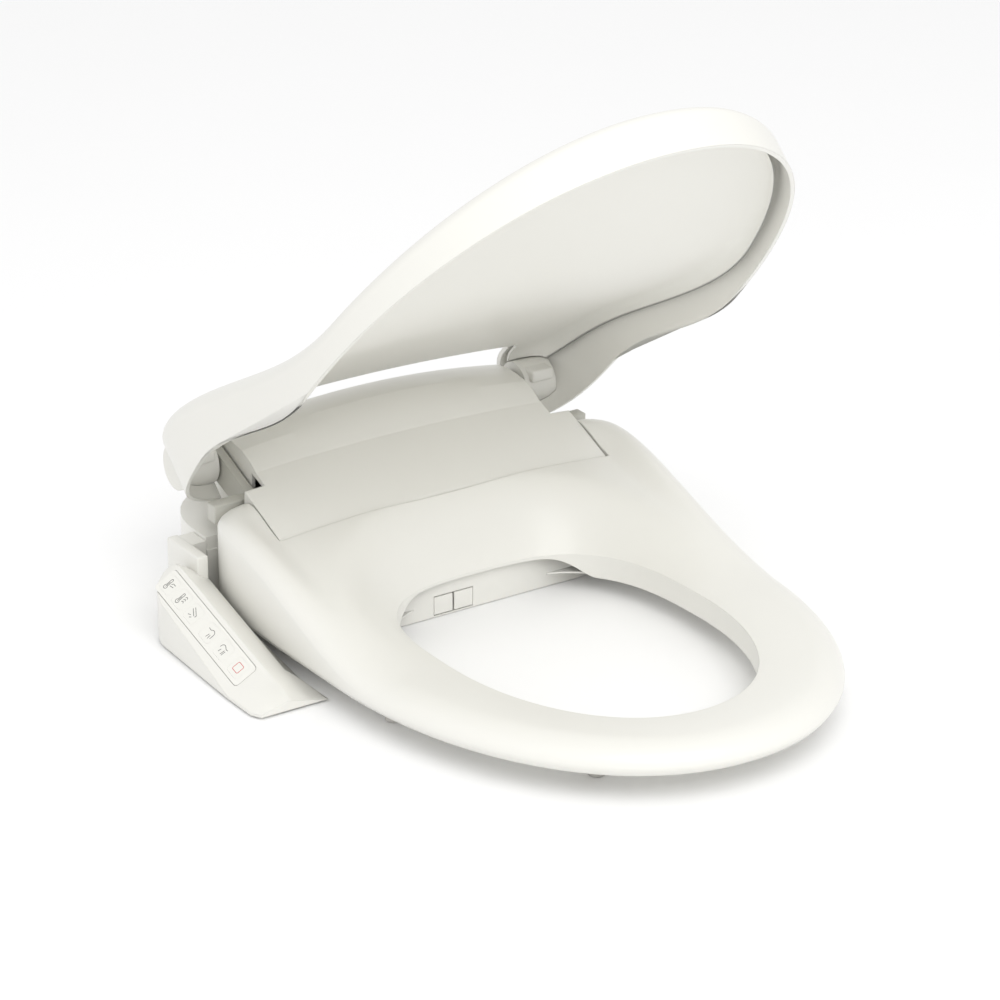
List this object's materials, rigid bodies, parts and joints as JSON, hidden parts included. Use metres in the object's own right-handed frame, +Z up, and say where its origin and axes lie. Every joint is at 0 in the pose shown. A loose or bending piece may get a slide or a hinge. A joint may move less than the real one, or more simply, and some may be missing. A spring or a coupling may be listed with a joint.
{
  "type": "electric bidet seat",
  "caption": "Electric bidet toilet seat with a heated seat ring, a deep hinged lid, sliding wash wands and a side arm of push keys.",
  "frame": {"origin": "underside of the mounting plate, midway between the bowl bolts", "axes": "+Z up, +Y to the cistern at the back, -Y to the front of the bowl, control arm on -X"},
  "size_m": [0.407, 0.5365, 0.4343],
  "materials": {
    "white_plastic": "smooth off-white moulded plastic, satin gloss",
    "inner_plastic": "light grey moulded plastic",
    "grey_rubber": "soft light grey rubber",
    "board_green": "green circuit board laminate",
    "black_plastic": "black moulded plastic",
    "blue_plastic": "blue moulded plastic",
    "steel": "plain steel",
    "brass": "turned brass",
    "heater_foil": "laminated foil"
  },
  "bodies": {
    "housing": {"lower_casing": "white_plastic", "upper_cover": "white_plastic", "mounting_plate": "black_plastic", "base_pad_left": "grey_rubber", "base_pad_right": "grey_rubber", "arm_housing": "white_plastic", "arm_floor": "white_plastic", "control_panel": "white_plastic", "control_board": "board_green", "lid_damper": "black_plastic", "seat_damper": "black_plastic", "wand_guide": "black_plastic", "front_motor": "steel", "rear_motor": "steel", "main_board": "board_green", "power_supply": "black_plastic", "water_tank": "inner_plastic", "inlet_valve": "blue_plastic", "valve_hose": "blue_plastic", "water_inlet": "brass", "cord_gland": "black_plastic"},
    "lid": {"lid_shell": "white_plastic", "lid_panel": "white_plastic", "lid_hinge_left": "inner_plastic", "lid_hinge_right": "inner_plastic", "lid_shaft": "steel"},
    "seat_drive": {"seat_shaft": "steel"},
    "seat": {"seat_top": "white_plastic", "seat_base": "white_plastic", "seat_heater": "heater_foil", "seat_bumper_front_left": "grey_rubber", "seat_bumper_front_right": "grey_rubber", "seat_bumper_rear_left": "grey_rubber", "seat_bumper_rear_right": "grey_rubber", "seat_hinge_left": "inner_plastic", "seat_hinge_right": "inner_plastic"},
    "front_wand": {"front_wand": "inner_plastic", "front_rack": "black_plastic", "front_wand_cap": "white_plastic"},
    "rear_wand": {"rear_wand": "inner_plastic", "rear_rack": "black_plastic", "rear_wand_cap": "white_plastic"},
    "front_pinion": {"front_pinion": "white_plastic"},
    "rear_pinion": {"rear_pinion": "white_plastic"},
    "release_button": {"release_button": "inner_plastic"},
    "key_stop": {"key_stop": "white_plastic"},
    "key_front": {"key_front": "white_plastic"},
    "key_rear": {"key_rear": "white_plastic"},
    "key_position": {"key_position": "white_plastic"},
    "key_water_temp": {"key_water_temp": "white_plastic"},
    "key_seat_temp": {"key_seat_temp": "white_plastic"}
  },
  "joints": [
    {"name": "lid_hinge", "type": "hinge", "parent": "housing", "child": "lid", "pos_m": [0, 0.033, 0.095], "axis": [-1, 0, 0], "range_deg": [-47, 63]},
    {"name": "seat_lower_hinge", "type": "hinge", "parent": "housing", "child": "seat_drive", "pos_m": [0, 0.033, 0.095], "axis": [-1, 0, 0], "range_deg": [0, 46]},
    {"name": "seat_upper_hinge", "type": "hinge", "parent": "seat_drive", "child": "seat", "pos_m": [0, 0.033, 0.095], "axis": [-1, 0, 0], "range_deg": [0, 46]},
    {"name": "front_wand_slide", "type": "slide", "parent": "housing", "child": "front_wand", "axis": [0, -0.9135, -0.4067], "range_m": [0, 0.055]},
    {"name": "front_pinion_spin", "type": "hinge", "parent": "housing", "child": "front_pinion", "pos_m": [-0.0094, -0.05587, 0.05049], "axis": [1, 0, 0], "range_deg": [-568, 4]},
    {"name": "rear_wand_slide", "type": "slide", "parent": "housing", "child": "rear_wand", "axis": [0, -0.9135, -0.4067], "range_m": [0, 0.055]},
    {"name": "rear_pinion_spin", "type": "hinge", "parent": "housing", "child": "rear_pinion", "pos_m": [-0.0266, -0.05587, 0.05049], "axis": [1, 0, 0], "range_deg": [-568, 4]},
    {"name": "key_stop_press", "type": "slide", "parent": "housing", "child": "key_stop", "axis": [0.5855, 0.2186, -0.7807], "range_m": [0, 0.0006], "stiffness_N_per_m": 900, "springref_m": -0.0006},
    {"name": "key_front_press", "type": "slide", "parent": "housing", "child": "key_front", "axis": [0.5855, 0.2186, -0.7807], "range_m": [0, 0.0006], "stiffness_N_per_m": 900, "springref_m": -0.0006},
    {"name": "key_rear_press", "type": "slide", "parent": "housing", "child": "key_rear", "axis": [0.5855, 0.2186, -0.7807], "range_m": [0, 0.0006], "stiffness_N_per_m": 900, "springref_m": -0.0006},
    {"name": "key_position_press", "type": "slide", "parent": "housing", "child": "key_position", "axis": [0.5855, 0.2186, -0.7807], "range_m": [0, 0.0006], "stiffness_N_per_m": 900, "springref_m": -0.0006},
    {"name": "key_water_temp_press", "type": "slide", "parent": "housing", "child": "key_water_temp", "axis": [0.5855, 0.2186, -0.7807], "range_m": [0, 0.0006], "stiffness_N_per_m": 900, "springref_m": -0.0006},
    {"name": "key_seat_temp_press", "type": "slide", "parent": "housing", "child": "key_seat_temp", "axis": [0.5855, 0.2186, -0.7807], "range_m": [0, 0.0006], "stiffness_N_per_m": 900, "springref_m": -0.0006},
    {"name": "release_press", "type": "slide", "parent": "housing", "child": "release_button", "axis": [-1, 0, 0], "range_m": [0, 0.0022], "stiffness_N_per_m": 600, "springref_m": -0.002}
  ],
  "couplings": [
    {"joint": "front_pinion_spin", "follows": "front_wand_slide", "rad_per_m": -178.5},
    {"joint": "rear_pinion_spin", "follows": "rear_wand_slide", "rad_per_m": -178.5}
  ]
}
